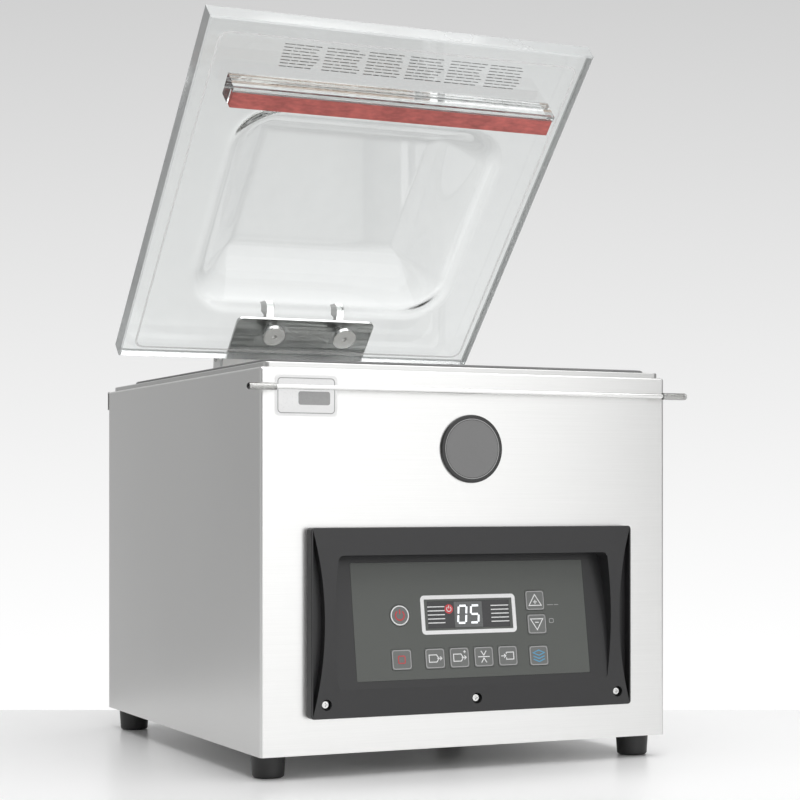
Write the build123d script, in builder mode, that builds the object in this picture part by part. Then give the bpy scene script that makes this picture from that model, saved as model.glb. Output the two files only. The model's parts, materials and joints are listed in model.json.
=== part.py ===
"""Tabletop vacuum chamber sealer with a clear domed lid, standing open.

Millimetres. Z is up, the table is Z = 0, the control panel faces -Y, and the
origin is under the middle of the body. The lid's pieces are drawn in the lid's
own frame, whose origin is the hinge pin, so one angle opens the whole lid.
"""
import os
from math import acos, atan2, cos, radians, sin, tan

from build123d import *

# ---- body
BODY_WIDTH = 384.0
BODY_DEPTH = 429.0
FOOT_HEIGHT = 19.5
SHELL_HEIGHT = 317.5
SHEET = 1.5
BEND = 2.5
TOP_FLANGE = 7.0
SHELL_TOP = FOOT_HEIGHT + SHELL_HEIGHT
FRONT = -BODY_DEPTH / 2
REAR = BODY_DEPTH / 2
BASE_SHEET = 2.0
BASE_TOP = FOOT_HEIGHT + BASE_SHEET
OVERALL_REAR = 229.0

# ---- deck and chamber well
DECK_RIM = 4.5
DECK_TOP = SHELL_TOP + DECK_RIM
DECK_WIDTH = 375.0
DECK_DEPTH = 425.0
WELL_WIDTH = 332.0
WELL_LENGTH = 344.0
WELL_Y = -19.3
WELL_DEPTH = 101.5
WELL_CORNER = 30.0
WELL_FLOOR = DECK_TOP - WELL_DEPTH
GASKET_WIDTH = 359.0
GASKET_LENGTH = 363.8
GASKET_CORNER = 14.0
GASKET_SECTION = 8.0
GROOVE_DEPTH = 5.0
GASKET_TOP = DECK_TOP + 2.7

# ---- lid, drawn closed in its own frame about the hinge pin
OPEN_ANGLE = 45.4
PIN_Y = 209.2
PIN_Z = 351.5
LID_WIDTH = 384.0
LID_LENGTH = 388.8
LID_THICKNESS = 19.4
LID_REAR = -34.1
LID_INNER = -6.9
LID_OUTER = LID_INNER + LID_THICKNESS
DOME_WIDTH = 272.0
DOME_LENGTH = 234.0
DOME_MIDDLE = LID_REAR - 182.0
DOME_CORNER = 34.0
DOME_HEIGHT = 56.0
DOME_DRAFT = 26.0
DOME_WALL = 4.0
LID_BOLT_X = 38.5
LID_BOLT_Y = LID_REAR - 36.7

# ---- lid hinge
HINGE_PLATE_WIDTH = 150.0
HINGE_SHEET = 3.0
HINGE_PLATE_REACH = 46.0
BARREL = 8.0
PIN_RADIUS = 4.0
RUNNING = 0.05
BUSH_RADIUS = 6.0
CHEEK_X = 77.0
STOP_Y = 0.467
STOP_Z = 21.873
STOP_RADIUS = 3.0
SPRING_RADIUS = 6.7
SPRING_WIRE = 1.0
SPRING_TURNS = 8
SPRING_LENGTH = 30.0
SPRING_MIDDLE = 4.0
SPRING_TIP = -29.0
SPRING_FOOT = 22.0

# ---- seal bar and counter-bar
BAR_LENGTH = 320.0
BAR_WIDTH = 16.0
COUNTER_REAR = LID_REAR - 312.4
COUNTER_WIDTH = 22.2
COUNTER_HEIGHT = 22.0
COUNTER_LENGTH = 324.0
SILICONE_HEIGHT = 6.3
SEAL_Y = PIN_Y + COUNTER_REAR - BAR_WIDTH / 2
SEAL_TRAVEL = 8.0
SEAL_TOP = PIN_Z + LID_INNER - COUNTER_HEIGHT - SEAL_TRAVEL - 0.5
TAPE = 0.25
WIRE_THICKNESS = 0.3
INSULATOR_HEIGHT = 3.0
BAR_HEIGHT = 34.0
BAR_TOP = SEAL_TOP - TAPE - WIRE_THICKNESS - INSULATOR_HEIGHT
BAR_BOTTOM = BAR_TOP - BAR_HEIGHT
PISTON_X = 118.0
PISTON_ROD = 6.0
LIFT_BORE = 17.0

# ---- control bezel and inclined panel
PANEL_TILT = 9.0
PANEL_WIDTH = 221.0
PANEL_LENGTH = 98.6
PANEL_THICKNESS = 1.6
PANEL_Y = FRONT - 1.3
PANEL_Z = 127.5
BEZEL_WIDTH = 303.0
BEZEL_BOTTOM = 49.5
BEZEL_TOP = 206.0
BEZEL_PROUD = 10.0
BEZEL_CORNER = 3.0
WINDOW_WIDTH = 254.0
WINDOW_BOTTOM = 72.5
WINDOW_TOP = 183.0
WINDOW_BOW = 4.0
SCOOP_WIDTH = 10.5
SCOOP_DEPTH = 8.0
SCOOP_WALL = 1.5
KEY_WIDTH = 18.2
KEY_HEIGHT = 17.0
KEY_GAP = 0.3
KEY_THICKNESS = 3.0
POWER_KEY_RADIUS = 9.0
DISPLAY_WIDTH = 90.0
DISPLAY_HEIGHT = 33.0
DISPLAY_X = -3.3
DISPLAY_Y = 4.3
ROW_Y = -32.4
SQUARE_KEYS = {
    "stop_key": (-69.0, ROW_Y),
    "vacuum_key": (-38.2, ROW_Y),
    "vacuum_plus_key": (-15.3, ROW_Y),
    "seal_key": (7.8, ROW_Y),
    "air_key": (30.9, ROW_Y),
    "programme_key": (61.0, ROW_Y - 0.8),
    "up_key": (61.0, 14.5),
    "down_key": (61.4, -6.0),
}
POWER_KEY = (-68.2, 4.6)

# ---- front rod
ROD_Y = FRONT - 11.5
ROD_Z = 320.2
ROD_RADIUS = 2.0
ROD_REACH = 208.0
SLEEVE_RADIUS = 3.0
SLEEVE_LENGTH = 25.0
STUD_X = 112.0

# ---- pump
PUMP_Y = 10.0
PUMP_Z = 104.0
MOTOR_RADIUS = 58.0
SHAFT_RADIUS = 7.0

# ---- rear
INLET_X = -130.0
INLET_Z = 70.0
SWITCH_Z = INLET_Z + 34.0
SWITCH_TILT = 9.0
EXHAUST_X = 120.0
EXHAUST_Z = 230.0

# ---- fixing places and levels shared by several pieces
FOOT_X = BODY_WIDTH / 2 - 17.0
FOOT_PLACES = [
    (-FOOT_X, FRONT + 27.0),
    (FOOT_X, FRONT + 27.0),
    (-FOOT_X, REAR - 30.0),
    (FOOT_X, REAR - 30.0),
]
REAR_SCREWS = [(x, z) for x in (-184, 184) for z in (40, 168, 300)]
SUCTION_Y = -168.0
LIFT_TOP = WELL_FLOOR - SHEET - 0.5
LIFT_BOTTOM = LIFT_TOP - 30.0
HINGE_SCREWS = [(x, PIN_Y - 16) for x in (-62, -22, 22, 62)]
BEZEL_SCREW_X = (-138.0, 0.0, 138.0)
BEZEL_SCREW_Z = 61.0
BOARD_SETBACK = 5.0
PUMP_TOP = PUMP_Z - 6 + 61
PUMP_BOTTOM = PUMP_Z - 6 - 61
LID_AXIS = Axis(
    origin=(0, 0, 0),
    direction=(0, sin(radians(OPEN_ANGLE)), cos(radians(OPEN_ANGLE))),
)

PIECES = {}
FRONT_FACE = Plane.XZ.offset(-FRONT)
REAR_FACE = Plane(origin=(0, REAR, 0), x_dir=(-1, 0, 0), z_dir=(0, 1, 0))
PANEL = Plane(
    origin=(0, PANEL_Y, PANEL_Z),
    x_dir=(1, 0, 0),
    z_dir=(0, -cos(radians(PANEL_TILT)), sin(radians(PANEL_TILT))),
)
LID = Plane(
    origin=(0, PIN_Y, PIN_Z),
    x_dir=(1, 0, 0),
    z_dir=(0, sin(radians(OPEN_ANGLE)), cos(radians(OPEN_ANGLE))),
)


def keep(name, piece):
    """Label a finished piece and remember it for export."""
    piece.label = name
    PIECES[name] = piece


def across(x):
    """Plane square to X at x, with its own x along +Y and its y up."""
    return Plane.YZ.offset(x)


def lid_across(x):
    """Plane square to X at x in the lid's frame: x to the rear, y outward."""
    angle = radians(OPEN_ANGLE)
    rearward = (0, cos(angle), -sin(angle))
    return Plane(origin=(x, PIN_Y, PIN_Z), x_dir=rearward, z_dir=(1, 0, 0))


# ======================================================================
# Body shell, base and feet
# ======================================================================
def build_housing():
    with BuildPart() as housing:
        with BuildSketch(Plane.XY.offset(FOOT_HEIGHT)):
            Rectangle(BODY_WIDTH, BODY_DEPTH)
        extrude(amount=SHELL_HEIGHT)
        fillet(housing.edges().filter_by(Axis.Z).group_by(Axis.Y)[0], BEND)
        fillet(housing.faces().sort_by(Axis.Z)[-1].edges(), BEND - 0.2)
        with BuildSketch(Plane.XY.offset(FOOT_HEIGHT)):
            Rectangle(BODY_WIDTH - 2 * SHEET, BODY_DEPTH - 2 * SHEET)
        extrude(amount=SHELL_HEIGHT - SHEET, mode=Mode.SUBTRACT)
        with BuildSketch(Plane.XY.offset(SHELL_TOP)):
            RectangleRounded(BODY_WIDTH - 2 * TOP_FLANGE, BODY_DEPTH - 2 * TOP_FLANGE, 4)
        extrude(amount=-2 * SHEET, mode=Mode.SUBTRACT)
        rear_bottom, rear_top = FOOT_HEIGHT, SHELL_TOP - 20
        with BuildSketch(Plane.XZ.offset(-REAR)):
            with Locations((0, (rear_bottom + rear_top) / 2)):
                Rectangle(BODY_WIDTH - 2 * 14, rear_top - rear_bottom)
        extrude(amount=2 * SHEET, mode=Mode.SUBTRACT)
        with BuildSketch(REAR_FACE):
            with Locations(*REAR_SCREWS):
                Circle(1.7)
        extrude(amount=-2 * SHEET, mode=Mode.SUBTRACT)
        with BuildSketch(FRONT_FACE):
            with Locations((0, (WINDOW_TOP + WINDOW_BOTTOM) / 2)):
                Rectangle(WINDOW_WIDTH + 2 * WINDOW_BOW + 8, WINDOW_TOP - WINDOW_BOTTOM + 8)
            with Locations((-138, 61), (0, 61), (138, 61)):
                Circle(1.7)
        extrude(amount=-2 * SHEET, mode=Mode.SUBTRACT)
    keep("housing_shell", housing.part)


def build_base():
    inner_width = BODY_WIDTH - 2 * SHEET - 0.4
    inner_depth = BODY_DEPTH - 2 * SHEET - 0.4
    with BuildPart() as base:
        with BuildSketch(Plane.XY.offset(FOOT_HEIGHT)):
            Rectangle(inner_width, inner_depth)
        extrude(amount=BASE_SHEET)
        for side in (-1, 1):
            with BuildSketch(Plane.XY.offset(BASE_TOP)):
                with Locations((side * (inner_width / 2 - SHEET / 2), 0)):
                    Rectangle(SHEET, inner_depth)
            extrude(amount=14)
        with BuildSketch(Plane.XY.offset(BASE_TOP)):
            with Locations((60, 150), (-60, 150)):
                with GridLocations(11, 0, 7, 1):
                    SlotOverall(50, 5, rotation=90)
            with Locations((-40, -165)):
                with GridLocations(11, 0, 6, 1):
                    SlotOverall(40, 5, rotation=90)
        extrude(amount=-BASE_SHEET, mode=Mode.SUBTRACT)
        with BuildSketch(Plane.XY.offset(BASE_TOP)):
            with Locations(*FOOT_PLACES):
                Circle(2.6)
        extrude(amount=-BASE_SHEET, mode=Mode.SUBTRACT)
    keep("base_plate", base.part)


def build_feet():
    with BuildPart() as feet:
        with BuildSketch():
            with Locations(*FOOT_PLACES):
                Circle(13.2)
        extrude(amount=FOOT_HEIGHT, taper=-4.0)
        fillet(feet.edges().filter_by(GeomType.CIRCLE).group_by(Axis.Z)[0], 2.6)
        with BuildSketch():
            with Locations(*FOOT_PLACES):
                Circle(6.0)
        extrude(amount=12.0, mode=Mode.SUBTRACT)
        with BuildSketch():
            with Locations(*FOOT_PLACES):
                Circle(2.6)
        extrude(amount=FOOT_HEIGHT, mode=Mode.SUBTRACT)
    keep("feet", feet.part)

    with BuildPart() as screws:
        with BuildSketch(Plane.XY.offset(8.0)):
            with Locations(*FOOT_PLACES):
                Circle(4.6)
        extrude(amount=4.0)
        fillet(screws.edges().filter_by(GeomType.CIRCLE).group_by(Axis.Z)[0], 0.8)
        with BuildSketch(Plane.XY.offset(8.0)):
            with Locations(*FOOT_PLACES):
                RegularPolygon(2.2, 6)
        extrude(amount=2.2, mode=Mode.SUBTRACT)
        with BuildSketch(Plane.XY.offset(12.0)):
            with Locations(*FOOT_PLACES):
                Circle(2.5)
        extrude(amount=16.0)
    keep("foot_screws", screws.part)


def build_rear_panel():
    bottom, hem = FOOT_HEIGHT + 0.5, 18.0
    with BuildPart() as rear:
        with BuildSketch(REAR_FACE):
            with Locations((0, (bottom + SHELL_TOP) / 2)):
                Rectangle(BODY_WIDTH - 6, SHELL_TOP - bottom)
        extrude(amount=SHEET)
        # the top is folded back and down into a hem
        with BuildSketch(across(-BODY_WIDTH / 2)):
            with Locations((REAR + 2.5, SHELL_TOP - SHEET / 2)):
                Rectangle(5, SHEET)
            with Locations((REAR + 5 - SHEET / 2, SHELL_TOP - hem / 2)):
                Rectangle(SHEET, hem)
        extrude(amount=BODY_WIDTH)
        fillet(rear.edges().filter_by(Axis.X).group_by(Axis.Y)[-1].sort_by(Axis.Z)[-1], 1.4)
        for place in ((-90, 150), (90, 150)):
            with BuildSketch(REAR_FACE):
                with Locations(place):
                    with GridLocations(0, 12, 1, 9):
                        SlotOverall(90, 5)
            extrude(amount=SHEET, mode=Mode.SUBTRACT)
        with BuildSketch(REAR_FACE):
            with Locations((-INLET_X, INLET_Z)):
                RectangleRounded(27.6, 20.6, 3)
            with Locations((-INLET_X, SWITCH_Z)):
                Rectangle(27.6, 22.6)
            with Locations((-EXHAUST_X, EXHAUST_Z)):
                Circle(13.2)
            with Locations(*REAR_SCREWS):
                Circle(1.7)
        extrude(amount=SHEET, mode=Mode.SUBTRACT)
    keep("rear_panel", rear.part)

    with BuildPart() as screws:
        with BuildSketch(REAR_FACE.offset(SHEET)):
            with Locations(*REAR_SCREWS):
                Circle(3.6)
        extrude(amount=2.2)
        fillet(screws.edges().filter_by(GeomType.CIRCLE).group_by(Axis.Y)[-1], 1.2)
        with BuildSketch(REAR_FACE.offset(SHEET + 2.2)):
            with Locations(*REAR_SCREWS):
                Rectangle(3.4, 0.7)
                Rectangle(0.7, 3.4)
        extrude(amount=-1.1, mode=Mode.SUBTRACT)
        with BuildSketch(REAR_FACE.offset(SHEET)):
            with Locations(*REAR_SCREWS):
                Circle(1.6)
        extrude(amount=-6.0)
    keep("rear_screws", screws.part)


# ======================================================================
# Deck, chamber well and what stands in it
# ======================================================================
def build_chamber():
    groove_outer_w = GASKET_WIDTH + GASKET_SECTION + 0.4
    groove_outer_l = GASKET_LENGTH + GASKET_SECTION + 0.4
    groove_inner_w = GASKET_WIDTH - GASKET_SECTION - 0.4
    groove_inner_l = GASKET_LENGTH - GASKET_SECTION - 0.4
    gasket_y = WELL_Y
    with BuildPart() as tub:
        with BuildSketch(Plane.XY.offset(SHELL_TOP)):
            RectangleRounded(DECK_WIDTH, DECK_DEPTH, 5)
        extrude(amount=DECK_RIM)
        fillet(tub.faces().sort_by(Axis.Z)[-1].edges(), 1.2)
        # hollow under the deck sheet, out to its folded rim
        with BuildSketch(Plane.XY.offset(SHELL_TOP)):
            Rectangle(DECK_WIDTH - 3, DECK_DEPTH - 3)
        extrude(amount=DECK_RIM - SHEET, mode=Mode.SUBTRACT)
        # the gasket's channel hangs under the sheet
        with BuildSketch(Plane.XY.offset(DECK_TOP - SHEET)):
            with Locations((0, gasket_y)):
                RectangleRounded(groove_outer_w + 2, groove_outer_l + 2, GASKET_CORNER + 5)
                RectangleRounded(groove_inner_w - 2, groove_inner_l - 2, GASKET_CORNER - 5,
                                 mode=Mode.SUBTRACT)
        extrude(amount=-(GROOVE_DEPTH + 1 - SHEET))
        with BuildSketch(Plane.XY.offset(DECK_TOP)):
            with Locations((0, gasket_y)):
                RectangleRounded(groove_outer_w, groove_outer_l, GASKET_CORNER + 4.2)
                RectangleRounded(groove_inner_w, groove_inner_l, GASKET_CORNER - 4.2,
                                 mode=Mode.SUBTRACT)
        extrude(amount=-GROOVE_DEPTH, mode=Mode.SUBTRACT)
        # the well
        with BuildSketch(Plane.XY.offset(DECK_TOP)):
            with Locations((0, WELL_Y)):
                RectangleRounded(WELL_WIDTH + 2 * SHEET, WELL_LENGTH + 2 * SHEET,
                                 WELL_CORNER + SHEET)
        extrude(amount=-(WELL_DEPTH + SHEET))
        with BuildSketch(Plane.XY.offset(DECK_TOP)):
            with Locations((0, WELL_Y)):
                RectangleRounded(WELL_WIDTH, WELL_LENGTH, WELL_CORNER)
        extrude(amount=-WELL_DEPTH, mode=Mode.SUBTRACT)
        floor_edges = tub.edges().filter_by_position(Axis.Z, WELL_FLOOR - 0.1, WELL_FLOOR + 0.1)
        fillet(floor_edges, 6)
        with BuildSketch(Plane.XY.offset(WELL_FLOOR)):
            with Locations((-PISTON_X, SEAL_Y), (PISTON_X, SEAL_Y)):
                Circle(10)
            with Locations((0, SUCTION_Y)):
                Circle(8)
        extrude(amount=-2 * SHEET, mode=Mode.SUBTRACT)
        with BuildSketch(Plane.XY.offset(DECK_TOP)):
            with Locations(*HINGE_SCREWS):
                Circle(2.6)
        extrude(amount=-2 * SHEET, mode=Mode.SUBTRACT)
    keep("chamber_tub", tub.part)

    with BuildPart() as gasket:
        with BuildSketch(Plane.XY.offset(DECK_TOP - GROOVE_DEPTH)):
            with Locations((0, gasket_y)):
                RectangleRounded(GASKET_WIDTH + GASKET_SECTION, GASKET_LENGTH + GASKET_SECTION,
                                 GASKET_CORNER + 4)
                RectangleRounded(GASKET_WIDTH - GASKET_SECTION, GASKET_LENGTH - GASKET_SECTION,
                                 GASKET_CORNER - 4, mode=Mode.SUBTRACT)
        extrude(amount=GASKET_TOP - DECK_TOP + GROOVE_DEPTH)
        fillet(gasket.faces().sort_by(Axis.Z)[-1].edges(), 2.2)
    keep("chamber_gasket", gasket.part)

    with BuildPart() as filler:
        with BuildSketch(Plane.XY.offset(WELL_FLOOR)):
            with Locations((0, 14)):
                RectangleRounded(WELL_WIDTH - 16, 262, 22)
        extrude(amount=15)
        fillet(filler.faces().sort_by(Axis.Z)[-1].edges(), 2)
    keep("filler_plate", filler.part)

    with BuildPart() as suction:
        with BuildSketch(Plane.XY.offset(WELL_FLOOR)):
            with Locations((0, SUCTION_Y)):
                Circle(13)
        extrude(amount=6)
        fillet(suction.faces().sort_by(Axis.Z)[-1].edges(), 1.5)
        with BuildSketch(Plane.XY.offset(WELL_FLOOR)):
            with Locations((0, SUCTION_Y)):
                Circle(7.9)
        extrude(amount=-16)
        with BuildSketch(Plane.XY.offset(WELL_FLOOR + 4.5)):
            with Locations((0, SUCTION_Y)):
                Circle(6)
        extrude(amount=-20.5, mode=Mode.SUBTRACT)
        with BuildSketch(Plane.XY.offset(WELL_FLOOR + 6)):
            with Locations((0, SUCTION_Y)):
                with PolarLocations(4, 6):
                    Circle(1.2)
        extrude(amount=-2, mode=Mode.SUBTRACT)
    keep("suction_cap", suction.part)


# ======================================================================
# Seal bar and its lift
# ======================================================================
def build_seal_bar():
    with BuildPart() as bar:
        with BuildSketch(across(-BAR_LENGTH / 2)):
            with Locations((SEAL_Y, (BAR_TOP + BAR_BOTTOM) / 2)):
                Rectangle(BAR_WIDTH, BAR_HEIGHT)
            # the extrusion's hollow
            with Locations((SEAL_Y, BAR_BOTTOM + 12)):
                RectangleRounded(8, 9, 2, mode=Mode.SUBTRACT)
        extrude(amount=BAR_LENGTH)
        fillet(bar.edges().filter_by(Axis.X).group_by(Axis.Z)[0], 1)
    keep("seal_bar", bar.part)

    with BuildPart() as insulator:
        with BuildSketch(Plane.XY.offset(BAR_TOP)):
            with Locations((0, SEAL_Y)):
                Rectangle(BAR_LENGTH, BAR_WIDTH - 1)
        extrude(amount=INSULATOR_HEIGHT)
    keep("seal_insulator", insulator.part)

    wire_z = BAR_TOP + INSULATOR_HEIGHT
    with BuildPart() as wires:
        with BuildSketch(Plane.XY.offset(wire_z)):
            with Locations((0, SEAL_Y - 3), (0, SEAL_Y + 3)):
                Rectangle(BAR_LENGTH - 2, 3)
        extrude(amount=WIRE_THICKNESS)
    keep("seal_wires", wires.part)

    with BuildPart() as tape:
        with BuildSketch(across(-BAR_LENGTH / 2 + 6)):
            with BuildLine():
                half = BAR_WIDTH / 2
                Polyline(
                    (SEAL_Y - half, BAR_TOP - 14),
                    (SEAL_Y - half, wire_z + WIRE_THICKNESS),
                    (SEAL_Y + half, wire_z + WIRE_THICKNESS),
                    (SEAL_Y + half, BAR_TOP - 14),
                    (SEAL_Y + half + TAPE, BAR_TOP - 14),
                    (SEAL_Y + half + TAPE, SEAL_TOP),
                    (SEAL_Y - half - TAPE, SEAL_TOP),
                    (SEAL_Y - half - TAPE, BAR_TOP - 14),
                    close=True,
                )
            make_face()
        extrude(amount=BAR_LENGTH - 12)
    keep("seal_tape", tape.part)

    with BuildPart() as clamps:
        for side in (-1, 1):
            with BuildSketch(across(side * BAR_LENGTH / 2)):
                with Locations((SEAL_Y, (BAR_TOP + BAR_BOTTOM) / 2 + 3)):
                    RectangleRounded(BAR_WIDTH - 2, BAR_HEIGHT - 8, 1.5)
            extrude(amount=side * 3)
            with BuildSketch(across(side * (BAR_LENGTH / 2 + 3))):
                with Locations((SEAL_Y, BAR_TOP - 8), (SEAL_Y, BAR_TOP - 20)):
                    Circle(2.8)
            extrude(amount=side * 1.6)
    keep("seal_end_clamps", clamps.part)

    with BuildPart() as pistons:
        places = [(-PISTON_X, SEAL_Y), (PISTON_X, SEAL_Y)]
        with BuildSketch(Plane.XY.offset(BAR_BOTTOM)):
            with Locations(*places):
                Circle(PISTON_ROD)
        extrude(amount=-(BAR_BOTTOM - LIFT_BOTTOM - 3))
        with BuildSketch(Plane.XY.offset(LIFT_BOTTOM + 3)):
            with Locations(*places):
                Circle(LIFT_BORE - 0.4)
        extrude(amount=7)
    keep("lift_pistons", pistons.part)

    # the cylinder's nose comes up through the floor and guides the rod
    with BuildPart() as cylinders:
        with BuildSketch(Plane.XY.offset(LIFT_BOTTOM - 3)):
            with Locations(*places):
                RectangleRounded(42, 42, 6)
        extrude(amount=LIFT_TOP - LIFT_BOTTOM + 3)
        with BuildSketch(Plane.XY.offset(LIFT_TOP)):
            with Locations(*places):
                Circle(9.9)
        extrude(amount=WELL_FLOOR + 6 - LIFT_TOP)
        fillet(cylinders.faces().sort_by(Axis.Z)[-1].edges(), 1)
        with BuildSketch(Plane.XY.offset(LIFT_BOTTOM)):
            with Locations(*places):
                Circle(LIFT_BORE)
        extrude(amount=LIFT_TOP - LIFT_BOTTOM - 4, mode=Mode.SUBTRACT)
        with BuildSketch(Plane.XY.offset(LIFT_TOP - 4)):
            with Locations(*places):
                Circle(PISTON_ROD + RUNNING)
        extrude(amount=WELL_FLOOR + 10 - LIFT_TOP, mode=Mode.SUBTRACT)
    keep("lift_cylinders", cylinders.part)


# ======================================================================
# Lid
# ======================================================================
def dome_profile(inset):
    """Rounded outline of the dome, set in from its mouth."""
    RectangleRounded(DOME_WIDTH - 2 * inset, DOME_LENGTH - 2 * inset,
                     DOME_CORNER - inset * 0.25)


def build_lid():
    crown = LID_INNER + DOME_HEIGHT
    with BuildPart() as lid:
        with BuildSketch(LID.offset(LID_INNER)):
            with Locations((0, LID_REAR - LID_LENGTH / 2)):
                RectangleRounded(LID_WIDTH, LID_LENGTH, 3)
        extrude(amount=LID_THICKNESS)
        chamfer(lid.faces().sort_by(LID_AXIS)[-1].edges(), 0.8)
        chamfer(lid.faces().sort_by(LID_AXIS)[0].edges(), 1.2)
        # outside of the dome
        with BuildSketch(LID.offset(LID_OUTER - 1)):
            with Locations((0, DOME_MIDDLE)):
                dome_profile(6.0)
        with BuildSketch(LID.offset(crown)):
            with Locations((0, DOME_MIDDLE)):
                dome_profile(DOME_DRAFT)
        loft()
        fillet(lid.faces().sort_by(LID_AXIS)[-1].edges(), 12)
    with BuildPart() as hollow:
        with BuildSketch(LID.offset(LID_INNER - 1)):
            with Locations((0, DOME_MIDDLE)):
                dome_profile(0.0)
        with BuildSketch(LID.offset(crown - DOME_WALL)):
            with Locations((0, DOME_MIDDLE)):
                dome_profile(DOME_DRAFT + DOME_WALL)
        loft()
        fillet(hollow.faces().sort_by(LID_AXIS)[-1].edges(), 9)
    shell = lid.part - hollow.part
    with BuildPart() as plate:
        add(shell)
        with BuildSketch(LID.offset(LID_OUTER + 1)):
            with Locations((-LID_BOLT_X, LID_BOLT_Y), (LID_BOLT_X, LID_BOLT_Y)):
                Circle(4.4)
        extrude(amount=-(LID_THICKNESS + 2), mode=Mode.SUBTRACT)
    keep("lid_plate", plate.part)


def build_counter_bar():
    silicone_rear = COUNTER_REAR
    with BuildPart() as block:
        with BuildSketch(lid_across(-COUNTER_LENGTH / 2)):
            with BuildLine():
                front = COUNTER_REAR - COUNTER_WIDTH
                bottom = LID_INNER - COUNTER_HEIGHT
                step = COUNTER_REAR - BAR_WIDTH
                Polyline(
                    (COUNTER_REAR, LID_INNER),
                    (COUNTER_REAR, bottom + SILICONE_HEIGHT),
                    (step, bottom + SILICONE_HEIGHT),
                    (step, bottom),
                    (front + 1.5, bottom),
                    (front, LID_INNER),
                    close=True,
                )
            make_face()
        extrude(amount=COUNTER_LENGTH)
    keep("counter_bar", block.part)

    with BuildPart() as silicone:
        with BuildSketch(lid_across(-COUNTER_LENGTH / 2 + 1)):
            with Locations((silicone_rear - BAR_WIDTH / 2, bottom + SILICONE_HEIGHT / 2)):
                Rectangle(BAR_WIDTH, SILICONE_HEIGHT)
        extrude(amount=COUNTER_LENGTH - 2)
    keep("counter_bar_silicone", silicone.part)


def build_lid_fixings():
    places = [(-LID_BOLT_X, LID_BOLT_Y), (LID_BOLT_X, LID_BOLT_Y)]
    with BuildPart() as washers:
        with BuildSketch(LID.offset(LID_INNER)):
            with Locations(*places):
                Circle(10.5)
                Circle(4.4, mode=Mode.SUBTRACT)
        extrude(amount=-2)
    keep("lid_seal_washers", washers.part)

    with BuildPart() as bolts:
        with BuildSketch(LID.offset(LID_INNER - 2)):
            with Locations(*places):
                Circle(12)
        extrude(amount=-4)
        chamfer(bolts.faces().sort_by(LID_AXIS)[0].edges(), 1.0)
        with BuildSketch(LID.offset(LID_INNER - 2)):
            with Locations(*places):
                Circle(4)
        extrude(amount=LID_THICKNESS + 2 + HINGE_SHEET + 8)
        with BuildSketch(LID.offset(LID_INNER - 6)):
            with Locations(*places):
                RegularPolygon(2.9, 6)
        extrude(amount=2.5, mode=Mode.SUBTRACT)
    keep("lid_bolts", bolts.part)

    with BuildPart() as nuts:
        with BuildSketch(LID.offset(LID_OUTER + HINGE_SHEET)):
            with Locations(*places):
                Circle(8)
        extrude(amount=1.6)
        with BuildSketch(LID.offset(LID_OUTER + HINGE_SHEET + 1.6)):
            with Locations(*places):
                RegularPolygon(7.5, 6)
        extrude(amount=6.5)
        with BuildSketch(LID.offset(LID_OUTER + HINGE_SHEET)):
            with Locations(*places):
                Circle(4.0)
        extrude(amount=10, mode=Mode.SUBTRACT)
    keep("lid_nuts", nuts.part)


# ======================================================================
# Lid hinge
# ======================================================================
def build_hinge_plate():
    top = LID_OUTER
    front = LID_REAR - HINGE_PLATE_REACH
    with BuildPart() as plate:
        with BuildSketch(LID.offset(top)):
            with Locations((0, front / 2 + LID_REAR / 2 + 0.5)):
                Rectangle(HINGE_PLATE_WIDTH, HINGE_PLATE_REACH + 1)
        extrude(amount=HINGE_SHEET)
        front_corners = plate.edges().filter_by(LID_AXIS).group_by(Axis.Z)[-1]
        fillet(front_corners, 6)
        # the sheet runs on down to the hinge barrel
        with BuildSketch(lid_across(-HINGE_PLATE_WIDTH / 2)):
            with BuildLine():
                Polyline(
                    (LID_REAR + 1, top),
                    (LID_REAR + 1, top + HINGE_SHEET),
                    (LID_REAR + 8, top + HINGE_SHEET),
                    (1.5, BARREL - 0.2),
                    (-3.5, 4.5),
                    (LID_REAR + 7, top),
                    close=True,
                )
            make_face()
            Circle(BARREL)
        extrude(amount=HINGE_PLATE_WIDTH)
        # window for the spring between the two knuckles
        with BuildSketch(lid_across(-SPRING_LENGTH - 3)):
            Circle(BARREL + 6)
        extrude(amount=2 * SPRING_LENGTH + 6, mode=Mode.SUBTRACT)
        with BuildSketch(lid_across(-HINGE_PLATE_WIDTH / 2)):
            Circle(BUSH_RADIUS)
        extrude(amount=HINGE_PLATE_WIDTH, mode=Mode.SUBTRACT)
        # slot for the spring's two middle legs, which press on the sheet beyond it
        with BuildSketch(LID):
            with Locations((0, SPRING_TIP / 2 - 1.5)):
                Rectangle(2 * SPRING_MIDDLE + 4, -SPRING_TIP - 7)
        extrude(amount=20, mode=Mode.SUBTRACT)
        with BuildSketch(LID.offset(top)):
            with Locations((-LID_BOLT_X, LID_BOLT_Y), (LID_BOLT_X, LID_BOLT_Y)):
                Circle(4.2)
        extrude(amount=HINGE_SHEET, mode=Mode.SUBTRACT)
    keep("lid_hinge_plate", plate.part)

    with BuildPart() as bushes:
        for side in (-1, 1):
            start = side * (SPRING_LENGTH + 3)
            with BuildSketch(across(start)):
                with Locations((PIN_Y, PIN_Z)):
                    Circle(BUSH_RADIUS)
                    Circle(PIN_RADIUS + RUNNING, mode=Mode.SUBTRACT)
            extrude(amount=side * (HINGE_PLATE_WIDTH / 2 - SPRING_LENGTH - 3 + 1))
    keep("hinge_bushes", bushes.part)


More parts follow.
